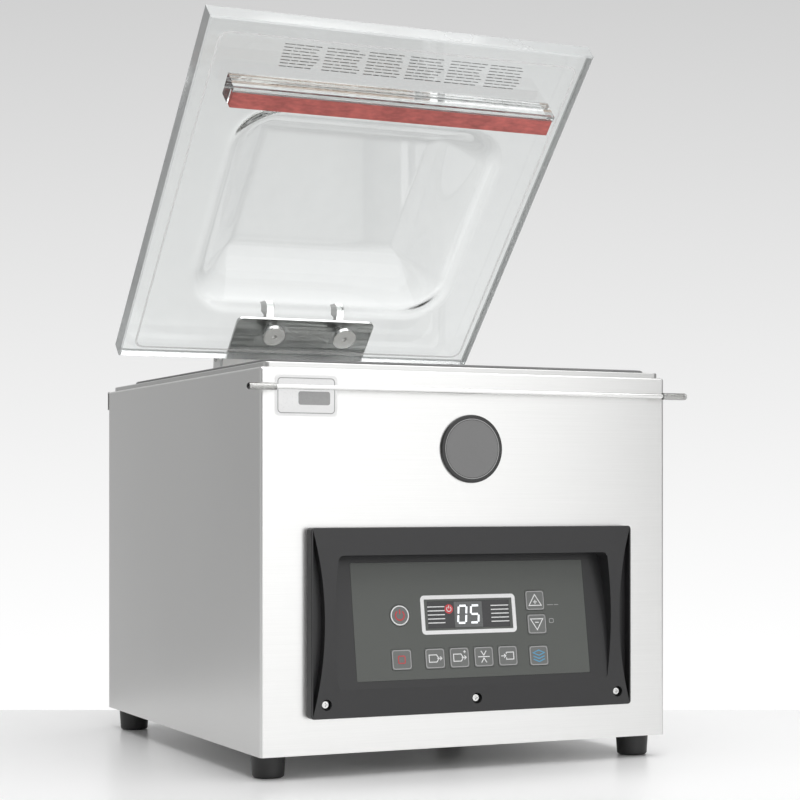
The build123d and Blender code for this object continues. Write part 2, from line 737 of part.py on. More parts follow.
def build_hinge_base():
    flange_front, flange_rear = PIN_Y - 25, DECK_DEPTH / 2 - 1
    with BuildPart() as base:
        with BuildSketch(Plane.XY.offset(DECK_TOP)):
            with Locations((0, (flange_front + flange_rear) / 2)):
                Rectangle(2 * CHEEK_X + 6, flange_rear - flange_front)
        extrude(amount=2.0)
        for side in (-1, 1):
            with BuildSketch(across(side * CHEEK_X)):
                with BuildLine():
                    cheek = [
                        (flange_front, DECK_TOP),
                        (flange_rear, DECK_TOP),
                        (PIN_Y + 11, DECK_TOP + 4),
                        (PIN_Y + 12, PIN_Z + 4),
                        (PIN_Y + 9.4, PIN_Z + 9.5),
                        (PIN_Y + 7.5, PIN_Z + STOP_Z + 4),
                        (PIN_Y - 7, PIN_Z + STOP_Z + 4),
                        (PIN_Y - 17, PIN_Z + 4),
                        (flange_front, DECK_TOP + 4),
                    ]
                    Polyline(*cheek, close=True)
                make_face()
            extrude(amount=side * 3)
        cheek_edges = base.edges().filter_by(Axis.X).group_by(Axis.Z)[-1]
        fillet(cheek_edges, 3)
        with BuildSketch(across(-CHEEK_X - 4)):
            with Locations((PIN_Y, PIN_Z)):
                Circle(PIN_RADIUS)
            with Locations((PIN_Y + STOP_Y, PIN_Z + STOP_Z)):
                Circle(STOP_RADIUS)
        extrude(amount=2 * CHEEK_X + 8, mode=Mode.SUBTRACT)
        with BuildSketch(Plane.XY.offset(DECK_TOP)):
            with Locations(*HINGE_SCREWS):
                Circle(2.6)
        extrude(amount=3, mode=Mode.SUBTRACT)
    keep("hinge_base", base.part)

    with BuildPart() as pin:
        with BuildSketch(across(-CHEEK_X - 7)):
            with Locations((PIN_Y, PIN_Z)):
                Circle(PIN_RADIUS)
        extrude(amount=2 * CHEEK_X + 14)
        # the ends are riveted over washers
        for side in (-1, 1):
            with BuildSketch(across(side * (CHEEK_X + 3))):
                with Locations((PIN_Y, PIN_Z)):
                    Circle(PIN_RADIUS + 3)
            extrude(amount=side * 1.2)
        chamfer(pin.faces().filter_by(GeomType.PLANE).sort_by(Axis.X)[0].edges(), 0.8)
        chamfer(pin.faces().filter_by(GeomType.PLANE).sort_by(Axis.X)[-1].edges(), 0.8)
    keep("hinge_pin", pin.part)

    with BuildPart() as stop:
        with BuildSketch(across(-CHEEK_X - 4.5)):
            with Locations((PIN_Y + STOP_Y, PIN_Z + STOP_Z)):
                Circle(STOP_RADIUS)
        extrude(amount=2 * CHEEK_X + 9)
    keep("lid_stop_bar", stop.part)

    with BuildPart() as screws:
        with BuildSketch(Plane.XY.offset(DECK_TOP + 2)):
            with Locations(*HINGE_SCREWS):
                Circle(4.2)
        extrude(amount=2.2)
        fillet(screws.edges().filter_by(GeomType.CIRCLE).group_by(Axis.Z)[-1], 1.2)
        with BuildSketch(Plane.XY.offset(DECK_TOP + 4.2)):
            with Locations(*HINGE_SCREWS):
                RegularPolygon(1.7, 6)
        extrude(amount=-1.4, mode=Mode.SUBTRACT)
        with BuildSketch(Plane.XY.offset(DECK_TOP + 2)):
            with Locations(*HINGE_SCREWS):
                Circle(2.5)
        extrude(amount=-10)
    keep("hinge_base_screws", screws.part)

    # double torsion spring of one wire: two coils of opposite hand, middle legs joined by
    # a bend that presses on the hinge plate, outer legs that press on the base
    tip_height = LID_OUTER - SPRING_WIRE - 0.1
    lean = radians(OPEN_ANGLE)
    tip_y = SPRING_TIP * cos(lean) + tip_height * sin(lean)
    tip_z = -SPRING_TIP * sin(lean) + tip_height * cos(lean)
    tip_distance = (tip_y**2 + tip_z**2) ** 0.5
    leave = atan2(tip_z, tip_y) - acos(SPRING_RADIUS / tip_distance)
    leg_reach = (tip_distance**2 - SPRING_RADIUS**2) ** 0.5
    turns = SPRING_TURNS + (leave + radians(90)) / radians(360)
    height = SPRING_LENGTH - SPRING_MIDDLE - 1
    # the wire is drawn as spans that meet face to face
    spans = []
    for side in (-1, 1):
        coil_plane = Plane(
            origin=(side * SPRING_MIDDLE, PIN_Y, PIN_Z),
            x_dir=(0, cos(leave), sin(leave)),
            z_dir=(side, 0, 0),
        )
        coil = Helix(
            pitch=height / turns,
            height=height,
            radius=SPRING_RADIUS,
            lefthand=side > 0,
            mode=Mode.PRIVATE,
        )
        path = coil_plane.location * coil
        # both legs leave the coil along its own direction
        out = (path % 0) * -1
        flat = (1 - out.X**2) ** 0.5
        slope = abs(out.X) / flat
        forward_share = (1 - abs(out.X)) / flat
        bend = (SPRING_MIDDLE - leg_reach * slope) / (1 - slope * forward_share)
        leg_end = path @ 0 + out * ((leg_reach - bend * forward_share) / flat)
        forward = Vector(0, out.Y, out.Z).normalized()
        bend_end = leg_end + forward * (bend * forward_share)
        bend_end = Vector(0, bend_end.Y, bend_end.Z)
        leg = Line(path @ 0, leg_end, mode=Mode.PRIVATE)
        turn = TangentArc(leg_end, bend_end, tangent=out, mode=Mode.PRIVATE)
        toe = path @ 1 + (path % 1) * SPRING_FOOT + Vector(0, 0, -0.25)
        foot = Line(path @ 1, toe, mode=Mode.PRIVATE)
        for run in (path, leg, turn, foot):
            with BuildPart() as span:
                with BuildSketch(Plane(origin=run @ 0, z_dir=run % 0)):
                    Circle(SPRING_WIRE)
                sweep(path=run)
            spans.append(span.part.solid())
    keep("lid_spring", Compound(children=spans))


# ======================================================================
# Control bezel, panel and keys
# ======================================================================
def build_bezel():
    height = BEZEL_TOP - BEZEL_BOTTOM
    middle = (BEZEL_TOP + BEZEL_BOTTOM) / 2
    window_height = WINDOW_TOP - WINDOW_BOTTOM
    window_middle = (WINDOW_TOP + WINDOW_BOTTOM) / 2
    # everything in front of the panel's plane is open inside the window
    with BuildPart() as cavity:
        with BuildSketch(FRONT_FACE.offset(BEZEL_PROUD + 5)):
            with BuildLine():
                half = WINDOW_WIDTH / 2
                bowed = half + WINDOW_BOW
                Line((-half, WINDOW_BOTTOM), (half, WINDOW_BOTTOM))
                ThreePointArc((half, WINDOW_BOTTOM), (bowed, window_middle), (half, WINDOW_TOP))
                Line((half, WINDOW_TOP), (-half, WINDOW_TOP))
                ThreePointArc((-half, WINDOW_TOP), (-bowed, window_middle), (-half, WINDOW_BOTTOM))
            make_face()
        extrude(amount=-60)
        fillet(cavity.edges().filter_by(Axis.Y), 5)
        split(bisect_by=PANEL, keep=Keep.TOP)
    # behind the panel only a thin floor is left
    with BuildPart() as pocket:
        with BuildSketch(FRONT_FACE.offset(-30)):
            with Locations((0, window_middle + 2)):
                Rectangle(PANEL_WIDTH + 16, window_height - 12)
        extrude(amount=60)
        split(bisect_by=PANEL.offset(-3.5), keep=Keep.BOTTOM)
    with BuildPart() as body:
        with BuildSketch(FRONT_FACE):
            with Locations((0, middle)):
                RectangleRounded(BEZEL_WIDTH, height, BEZEL_CORNER)
        extrude(amount=BEZEL_PROUD)
        fillet(body.faces().sort_by(Axis.Y)[0].edges(), 0.8)
        with BuildSketch(FRONT_FACE):
            with Locations((0, window_middle)):
                Rectangle(WINDOW_WIDTH + 2 * WINDOW_BOW + 6, window_height + 6)
        extrude(amount=-13.5)
        # crescent scoops at both ends
        for side in (-1, 1):
            edge = side * (BEZEL_WIDTH / 2 - SCOOP_WALL)
            with BuildSketch(FRONT_FACE.offset(BEZEL_PROUD)):
                with BuildLine():
                    low, high = BEZEL_BOTTOM + 2, BEZEL_TOP - 2
                    ThreePointArc((edge, low), (edge - side * SCOOP_WIDTH, middle), (edge, high))
                    Line((edge, high), (edge, low))
                make_face()
            extrude(amount=-SCOOP_DEPTH, mode=Mode.SUBTRACT)
    bezel_body = body.part - cavity.part - pocket.part
    with BuildPart() as bezel:
        add(bezel_body)
        with BuildSketch(PANEL):
            RectangleRounded(PANEL_WIDTH + 0.4, PANEL_LENGTH + 0.4, 1.5)
        extrude(amount=-PANEL_THICKNESS, mode=Mode.SUBTRACT)
        with BuildSketch(PANEL):
            Rectangle(PANEL_WIDTH - 8, PANEL_LENGTH - 8)
        extrude(amount=-6, mode=Mode.SUBTRACT)
        for x in BEZEL_SCREW_X:
            with BuildSketch(FRONT_FACE.offset(BEZEL_PROUD)):
                with Locations((x, BEZEL_SCREW_Z)):
                    Circle(4.6)
            extrude(amount=-6, mode=Mode.SUBTRACT)
            with BuildSketch(FRONT_FACE.offset(BEZEL_PROUD)):
                with Locations((x, BEZEL_SCREW_Z)):
                    Circle(1.7)
            extrude(amount=-BEZEL_PROUD - 1, mode=Mode.SUBTRACT)
    keep("control_bezel", bezel.part)

    with BuildPart() as screws:
        places = [(x, BEZEL_SCREW_Z) for x in BEZEL_SCREW_X]
        head = FRONT_FACE.offset(BEZEL_PROUD - 6)
        with BuildSketch(head):
            with Locations(*places):
                Circle(3.5)
        extrude(amount=3.2)
        fillet(screws.edges().filter_by(GeomType.CIRCLE).group_by(Axis.Y)[0], 0.9)
        with BuildSketch(head.offset(3.2)):
            with Locations(*places):
                Rectangle(3.6, 0.8)
                Rectangle(0.8, 3.6)
        extrude(amount=-1.4, mode=Mode.SUBTRACT)
        with BuildSketch(head):
            with Locations(*places):
                Circle(1.6)
        extrude(amount=-12)
    keep("bezel_screws", screws.part)


def build_panel():
    with BuildPart() as panel:
        with BuildSketch(PANEL):
            RectangleRounded(PANEL_WIDTH, PANEL_LENGTH, 1.3)
            with Locations((DISPLAY_X, DISPLAY_Y)):
                Rectangle(DISPLAY_WIDTH - 12, DISPLAY_HEIGHT - 10, mode=Mode.SUBTRACT)
            with Locations(*SQUARE_KEYS.values()):
                RectangleRounded(KEY_WIDTH + 2 * KEY_GAP, KEY_HEIGHT + 2 * KEY_GAP, 1.8,
                                 mode=Mode.SUBTRACT)
            with Locations(POWER_KEY):
                Circle(POWER_KEY_RADIUS + KEY_GAP, mode=Mode.SUBTRACT)
        extrude(amount=-PANEL_THICKNESS)
    keep("control_panel", panel.part)

    with BuildPart() as window:
        with BuildSketch(PANEL.offset(-0.1)):
            with Locations((DISPLAY_X, DISPLAY_Y)):
                RectangleRounded(DISPLAY_WIDTH - 12.2, DISPLAY_HEIGHT - 10.2, 0.5)
        extrude(amount=-1.4)
    keep("display_window", window.part)

    # each key stands 0.5 proud, so a pressed key is still just above the panel
    for name, place in SQUARE_KEYS.items():
        with BuildPart() as key:
            with BuildSketch(PANEL.offset(0.5)):
                with Locations(place):
                    RectangleRounded(KEY_WIDTH, KEY_HEIGHT, 1.5)
            extrude(amount=-KEY_THICKNESS)
            chamfer(key.faces().sort_by(Axis.Y)[0].edges(), 0.3)
        keep(name, key.part)
    with BuildPart() as power:
        with BuildSketch(PANEL.offset(0.5)):
            with Locations(POWER_KEY):
                Circle(POWER_KEY_RADIUS)
        extrude(amount=-KEY_THICKNESS)
        chamfer(power.faces().sort_by(Axis.Y)[0].edges(), 0.3)
    keep("power_key", power.part)

    # board with the display module on it, on four posts behind the panel
    with BuildPart() as board:
        with BuildSketch(PANEL.offset(-BOARD_SETBACK)):
            RectangleRounded(PANEL_WIDTH - 14, PANEL_LENGTH - 14, 2)
        extrude(amount=-1.6)
        with BuildSketch(PANEL.offset(-BOARD_SETBACK)):
            with Locations((DISPLAY_X, DISPLAY_Y)):
                Rectangle(30, 20)
        extrude(amount=BOARD_SETBACK - 2)
        with BuildSketch(PANEL.offset(-BOARD_SETBACK)):
            with Locations(*SQUARE_KEYS.values(), POWER_KEY):
                Circle(2.5)
        extrude(amount=BOARD_SETBACK - KEY_THICKNESS - 0.2)
        with BuildSketch(PANEL.offset(-BOARD_SETBACK - 1.6)):
            with Locations((-50, 0), (0, -20), (55, 10)):
                Rectangle(22, 14)
        extrude(amount=-8)
    keep("control_board", board.part)


# ======================================================================
# Front trim
# ======================================================================
def build_front_trim():
    with BuildPart() as badge:
        with BuildSketch(FRONT_FACE):
            with Locations((-1, 272)):
                Circle(29)
        extrude(amount=2.5)
        fillet(badge.faces().sort_by(Axis.Y)[0].edges(), 1.2)
    keep("front_badge", badge.part)

    with BuildPart() as label:
        with BuildSketch(FRONT_FACE):
            with Locations((-152, 314.0)):
                RectangleRounded(55, 33.5, 4)
        extrude(amount=0.3)
    keep("front_label", label.part)

    # the rod is welded to two studs that stand behind it
    with BuildPart() as rod:
        with BuildSketch(across(-ROD_REACH + 2)):
            with Locations((ROD_Y, ROD_Z)):
                Circle(ROD_RADIUS)
        extrude(amount=2 * ROD_REACH - 4)
        with BuildSketch(FRONT_FACE):
            with Locations((-STUD_X, ROD_Z), (STUD_X, ROD_Z)):
                Circle(ROD_RADIUS - 0.1)
        extrude(amount=FRONT - ROD_Y)
    keep("front_rod", rod.part)

    with BuildPart() as sleeves:
        for side in (-1, 1):
            with BuildSketch(across(side * (ROD_REACH - SLEEVE_LENGTH))):
                with Locations((ROD_Y, ROD_Z)):
                    Circle(SLEEVE_RADIUS)
            extrude(amount=side * SLEEVE_LENGTH)
        outer_ends = sleeves.edges().filter_by(GeomType.CIRCLE).sort_by(Axis.X)
        fillet([outer_ends[0], outer_ends[-1]], SLEEVE_RADIUS - 0.3)
        with BuildSketch(across(-ROD_REACH + 2)):
            with Locations((ROD_Y, ROD_Z)):
                Circle(ROD_RADIUS)
        extrude(amount=2 * ROD_REACH - 4, mode=Mode.SUBTRACT)
    keep("rod_sleeves", sleeves.part)


# ======================================================================
# Pump, valves and electrics under the chamber
# ======================================================================
def build_pump():
    left = -165.0
    with BuildPart() as pump:
        with BuildSketch(across(left)):
            with Locations((PUMP_Y, PUMP_Z - 6)):
                RectangleRounded(150, 122, 14)
        extrude(amount=118)
        # cooling ribs run round the outside
        with BuildSketch(across(left + 14)):
            with Locations((PUMP_Y, PUMP_Z - 6)):
                RectangleRounded(158, 130, 16)
                RectangleRounded(150, 122, 14, mode=Mode.SUBTRACT)
        extrude(amount=3)
        for step in range(1, 8):
            with BuildSketch(across(left + 14 + 12 * step)):
                with Locations((PUMP_Y, PUMP_Z - 6)):
                    RectangleRounded(158, 130, 16)
                    RectangleRounded(150, 122, 14, mode=Mode.SUBTRACT)
            extrude(amount=3)
        # bore of the pump chamber, open towards the motor
        with BuildSketch(across(left + 22)):
            with Locations((PUMP_Y, PUMP_Z)):
                Circle(40)
        extrude(amount=78, mode=Mode.SUBTRACT)
        with BuildSketch(across(left + 100)):
            with Locations((PUMP_Y, PUMP_Z)):
                Circle(SHAFT_RADIUS + RUNNING)
        extrude(amount=20, mode=Mode.SUBTRACT)
        # suction port on top, exhaust port beside it
        with BuildSketch(Plane.XY.offset(PUMP_TOP)):
            with Locations((left + 60, PUMP_Y - 30), (left + 60, PUMP_Y + 40)):
                Circle(12)
        extrude(amount=10)
        with BuildSketch(Plane.XY.offset(PUMP_TOP + 10)):
            with Locations((left + 60, PUMP_Y - 30), (left + 60, PUMP_Y + 40)):
                Circle(8)
        extrude(amount=-18, mode=Mode.SUBTRACT)
        with BuildSketch(Plane.XY.offset(PUMP_BOTTOM)):
            with Locations((left + 20, PUMP_Y - 60), (left + 20, PUMP_Y + 60),
                           (left + 98, PUMP_Y - 60), (left + 98, PUMP_Y + 60)):
                Circle(8)
        extrude(amount=-(PUMP_BOTTOM - BASE_TOP - 10))
    keep("pump_housing", pump.part)

    with BuildPart() as mounts:
        with BuildSketch(Plane.XY.offset(BASE_TOP)):
            with Locations((left + 20, PUMP_Y - 60), (left + 20, PUMP_Y + 60),
                           (left + 98, PUMP_Y - 60), (left + 98, PUMP_Y + 60)):
                Circle(11)
        extrude(amount=10)
        fillet(mounts.edges().filter_by(GeomType.CIRCLE), 1.5)
    keep("pump_mounts", mounts.part)

    motor_left = left + 118
    motor_length = 130
    with BuildPart() as motor:
        with BuildSketch(across(motor_left)):
            with Locations((PUMP_Y, PUMP_Z)):
                Circle(MOTOR_RADIUS)
        extrude(amount=motor_length)
        with BuildSketch(across(motor_left + 16)):
            with Locations((PUMP_Y, PUMP_Z)):
                Circle(MOTOR_RADIUS + 1)
                Circle(MOTOR_RADIUS - 6, mode=Mode.SUBTRACT)
                with PolarLocations(MOTOR_RADIUS, 30):
                    Rectangle(16, 3, mode=Mode.SUBTRACT)
        extrude(amount=motor_length - 32, mode=Mode.SUBTRACT)
        with BuildSketch(across(motor_left + 6)):
            with Locations((PUMP_Y, PUMP_Z)):
                Circle(MOTOR_RADIUS - 12)
        extrude(amount=motor_length - 12, mode=Mode.SUBTRACT)
        with BuildSketch(across(motor_left)):
            with Locations((PUMP_Y, PUMP_Z)):
                Circle(SHAFT_RADIUS + RUNNING)
        extrude(amount=motor_length, mode=Mode.SUBTRACT)
    keep("motor_housing", motor.part)

    # shaft with the pump rotor on its left end and the motor rotor in the middle
    with BuildPart() as shaft:
        with BuildSketch(across(left + 24)):
            with Locations((PUMP_Y, PUMP_Z)):
                Circle(SHAFT_RADIUS)
        extrude(amount=118 - 24 + motor_length + 24)
        with BuildSketch(across(left + 26)):
            with Locations((PUMP_Y, PUMP_Z)):
                Circle(33)
                with PolarLocations(27, 3):
                    Rectangle(18, 4, mode=Mode.SUBTRACT)
        extrude(amount=70)
        with BuildSketch(across(motor_left + 24)):
            with Locations((PUMP_Y, PUMP_Z)):
                Circle(32)
        extrude(amount=82)
    keep("motor_shaft", shaft.part)

    fan_left = motor_left + motor_length + 4
    with BuildPart() as fan:
        with BuildSketch(across(fan_left)):
            with Locations((PUMP_Y, PUMP_Z)):
                Circle(14)
        extrude(amount=18)
        with BuildSketch(across(fan_left)):
            with Locations((PUMP_Y, PUMP_Z)):
                Circle(46)
                Circle(13, mode=Mode.SUBTRACT)
        extrude(amount=2)
        with BuildSketch(across(fan_left + 1)):
            with Locations((PUMP_Y, PUMP_Z)):
                with PolarLocations(29, 9):
                    Rectangle(33, 2.4)
        extrude(amount=15)
        with BuildSketch(across(fan_left)):
            with Locations((PUMP_Y, PUMP_Z)):
                Circle(SHAFT_RADIUS)
        extrude(amount=18, mode=Mode.SUBTRACT)
    keep("motor_fan", fan.part)

    cowl_right = fan_left + 24
    with BuildPart() as cowl:
        with BuildSketch(across(motor_left + motor_length - 8)):
            with Locations((PUMP_Y, PUMP_Z)):
                Circle(MOTOR_RADIUS + 2)
        extrude(amount=cowl_right - (motor_left + motor_length - 8))
        fillet(cowl.faces().sort_by(Axis.X)[-1].edges(), 5)
        with BuildSketch(across(motor_left + motor_length - 8)):
            with Locations((PUMP_Y, PUMP_Z)):
                Circle(MOTOR_RADIUS)
        extrude(amount=cowl_right - (motor_left + motor_length - 8) - 1.5, mode=Mode.SUBTRACT)
        with BuildSketch(across(cowl_right)):
            with Locations((PUMP_Y, PUMP_Z)):
                with PolarLocations(18, 8):
                    Circle(4)
                with PolarLocations(32, 14):
                    Circle(4)
                with PolarLocations(45, 20):
                    Circle(4)
        extrude(amount=-1.5, mode=Mode.SUBTRACT)
    keep("fan_cowl", cowl.part)


def build_services():
    pump_left = -165.0
    suction_port = (pump_left + 60, PUMP_Y - 30)
    # vacuum hose from the chamber's suction cap to the pump
    hose_top = WELL_FLOOR - 14
    with BuildPart() as hose:
        with BuildLine() as route:
            Spline(
                (0, SUCTION_Y, hose_top),
                (-30, SUCTION_Y + 30, hose_top - 14),
                (-90, PUMP_Y - 60, hose_top - 16),
                (suction_port[0], suction_port[1], PUMP_TOP + 11),
                tangents=((0, 0, -1), (0, 0, -1)),
            )
        with BuildSketch(Plane(origin=route.line @ 0, z_dir=route.line % 0)):
            Circle(11)
            Circle(8.2, mode=Mode.SUBTRACT)
        sweep()
    keep("vacuum_hose", hose.part)

    with BuildPart() as cap:
        with BuildSketch(REAR_FACE.offset(SHEET)):
            with Locations((-EXHAUST_X, EXHAUST_Z)):
                Circle(20)
        extrude(amount=OVERALL_REAR - REAR - SHEET)
        fillet(cap.faces().sort_by(Axis.Y)[-1].edges(), 3)
        with BuildSketch(REAR_FACE.offset(SHEET)):
            with Locations((-EXHAUST_X, EXHAUST_Z)):
                Circle(13)
        extrude(amount=-12)
        with BuildSketch(REAR_FACE.offset(-10.5)):
            with Locations((-EXHAUST_X, EXHAUST_Z)):
                Circle(10)
        extrude(amount=OVERALL_REAR - REAR + 8.5, mode=Mode.SUBTRACT)
        with BuildSketch(REAR_FACE.offset(OVERALL_REAR - REAR)):
            with Locations((-EXHAUST_X, EXHAUST_Z)):
                with GridLocations(0, 5.5, 1, 4):
                    SlotOverall(16, 2.4)
        extrude(amount=-3, mode=Mode.SUBTRACT)
    keep("exhaust_cap", cap.part)

    with BuildPart() as valves:
        with BuildSketch(Plane.XY.offset(BASE_TOP)):
            with Locations((120, -150)):
                Rectangle(96, 36)
        extrude(amount=34)
        with BuildSketch(Plane.XY.offset(BASE_TOP + 34)):
            with Locations((120, -150)):
                with GridLocations(31, 0, 3, 1):
                    RectangleRounded(25, 28, 3)
        extrude(amount=34)
        with BuildSketch(Plane.XZ.offset(168)):
            with Locations((120, BASE_TOP + 17)):
                with GridLocations(31, 0, 3, 1):
                    Circle(6)
        extrude(amount=10)
    keep("valve_block", valves.part)

    with BuildPart() as transformer:
        with BuildSketch(Plane.XY.offset(BASE_TOP)):
            with Locations((-110, -150)):
                Rectangle(84, 60)
        extrude(amount=3)
        with BuildSketch(Plane.XY.offset(BASE_TOP + 3)):
            with Locations((-110, -150)):
                Rectangle(72, 34)
        extrude(amount=58)
        with BuildSketch(Plane.XY.offset(BASE_TOP + 13)):
            with Locations((-110, -150)):
                RectangleRounded(44, 56, 6)
        extrude(amount=38)
    keep("transformer", transformer.part)


def build_inlet():
    flange_z = (INLET_Z + SWITCH_Z) / 2
    outer = REAR_FACE.offset(SHEET)
    with BuildPart() as inlet:
        with BuildSketch(outer):
            with Locations((-INLET_X, flange_z)):
                RectangleRounded(50, 70, 5)
        extrude(amount=3)
        fillet(inlet.faces().sort_by(Axis.Y)[-1].edges(), 1)
        with BuildSketch(outer):
            with Locations((-INLET_X, INLET_Z)):
                RectangleRounded(27.2, 20.2, 3)
        extrude(amount=-24)
        with BuildSketch(outer):
            with Locations((-INLET_X, SWITCH_Z)):
                Rectangle(27.2, 22.2)
        extrude(amount=-20)
        with BuildSketch(outer.offset(3)):
            with Locations((-INLET_X, INLET_Z)):
                with BuildLine():
                    socket = [(-11.5, -8), (11.5, -8), (11.5, 2), (5.5, 8), (-5.5, 8), (-11.5, 2)]
                    Polyline(*[(x - INLET_X, z + INLET_Z) for x, z in socket], close=True)
                make_face()
        extrude(amount=-19, mode=Mode.SUBTRACT)
        # three flat earth, live and neutral pins
        with BuildSketch(outer.offset(-17)):
            with Locations((-INLET_X, INLET_Z + 3), (-INLET_X - 7, INLET_Z - 2),
                           (-INLET_X + 7, INLET_Z - 2)):
                Rectangle(2, 4)
        extrude(amount=15)
        # cavity for the rocker
        with BuildSketch(across(INLET_X - 10.4)):
            with Locations((REAR + SHEET + 1, SWITCH_Z)):
                Circle(9.6)
        extrude(amount=20.8, mode=Mode.SUBTRACT)
    keep("power_inlet", inlet.part)

    pivot = (REAR + SHEET + 1, SWITCH_Z)
    with BuildPart() as rocker:
        with BuildSketch(across(INLET_X - 10)):
            with BuildLine():
                lean = tan(radians(SWITCH_TILT))
                ThreePointArc(
                    (pivot[0] + 2.2, pivot[1] - 9.0),
                    (pivot[0] - 9.2, pivot[1]),
                    (pivot[0] + 2.2, pivot[1] + 9.0),
                )
                Polyline(
                    (pivot[0] + 2.2, pivot[1] + 9.0),
                    (pivot[0] + 2.2 + 0.4, pivot[1] + 8.6),
                    (pivot[0] + 2.8 + 8.6 * lean * 0.4, pivot[1]),
                    (pivot[0] + 2.2 + 15 * lean, pivot[1] - 8.0),
                    (pivot[0] + 2.2, pivot[1] - 9.0),
                )
            make_face()
        extrude(amount=20)
    keep("main_switch", rocker.part)


def main():
    build_housing()
    build_base()
    build_feet()
    build_rear_panel()
    build_chamber()
    build_seal_bar()
    build_lid()
    build_counter_bar()
    build_lid_fixings()
    build_hinge_plate()
    build_hinge_base()
    build_bezel()
    build_panel()
    build_front_trim()
    build_pump()
    build_services()
    build_inlet()
    os.makedirs("parts", exist_ok=True)
    for name, piece in PIECES.items():
        export_step(piece, f"parts/{name}.step")


main()
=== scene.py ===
"""Looks of the tabletop vacuum chamber sealer: materials, clear lid, panel print, studio."""

import json
import math

import bmesh
import bpy
import numpy as np
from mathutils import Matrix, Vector


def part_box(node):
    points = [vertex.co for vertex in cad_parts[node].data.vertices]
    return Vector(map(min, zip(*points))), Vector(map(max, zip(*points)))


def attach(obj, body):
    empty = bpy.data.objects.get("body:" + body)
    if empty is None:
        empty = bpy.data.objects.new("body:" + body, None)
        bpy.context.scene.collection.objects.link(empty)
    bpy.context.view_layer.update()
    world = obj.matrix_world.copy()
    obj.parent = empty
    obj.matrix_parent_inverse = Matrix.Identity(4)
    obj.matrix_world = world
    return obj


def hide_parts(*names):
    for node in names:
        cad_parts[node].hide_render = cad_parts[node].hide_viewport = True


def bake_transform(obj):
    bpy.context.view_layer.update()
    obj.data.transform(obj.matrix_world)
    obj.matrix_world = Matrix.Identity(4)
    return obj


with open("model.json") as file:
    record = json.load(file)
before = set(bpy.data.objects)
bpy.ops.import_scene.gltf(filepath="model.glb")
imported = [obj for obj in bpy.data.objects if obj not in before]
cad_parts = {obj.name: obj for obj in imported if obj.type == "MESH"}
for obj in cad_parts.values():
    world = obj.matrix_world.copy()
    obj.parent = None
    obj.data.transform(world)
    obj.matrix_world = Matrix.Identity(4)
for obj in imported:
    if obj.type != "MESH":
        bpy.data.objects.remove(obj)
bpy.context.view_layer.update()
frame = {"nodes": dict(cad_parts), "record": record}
NODES = frame["nodes"]

MM_PER_METRE = 1000
PRINT_LIFT = 0.01  # gap between a surface and the print on it, in millimetres

# ---- places shared with the CAD model, in metres: x right, y to the rear, z up
PIN = Vector((0, 0.2092, 0.3515))
LEAN = math.radians(45.4)
LID_HALF = 0.192
LID_LENGTH = 0.3888
LID_REAR = -0.0341
LID_INNER = -0.0069
LID_OUTER = 0.0125
PANEL = Vector((0, -0.2158, 0.1275))
TILT = math.radians(9)
PANEL_UP = Vector((0, math.sin(TILT), math.cos(TILT)))
PANEL_OUT = Vector((0, -math.cos(TILT), math.sin(TILT)))


# ======================================================================
# Materials: each is a principled shader with procedural colour, roughness and relief
# ======================================================================
ACRYLIC_IOR = 1.49
NOISE_LOW, NOISE_HIGH = 0.3, 0.7  # the part of the mixed noise that is spread out


def noise(tree, scale, detail):
    """A noise texture, added to a material's nodes."""
    made = tree.nodes.new("ShaderNodeTexNoise")
    made.inputs["Scale"].default_value = scale
    made.inputs["Detail"].default_value = detail
    return made


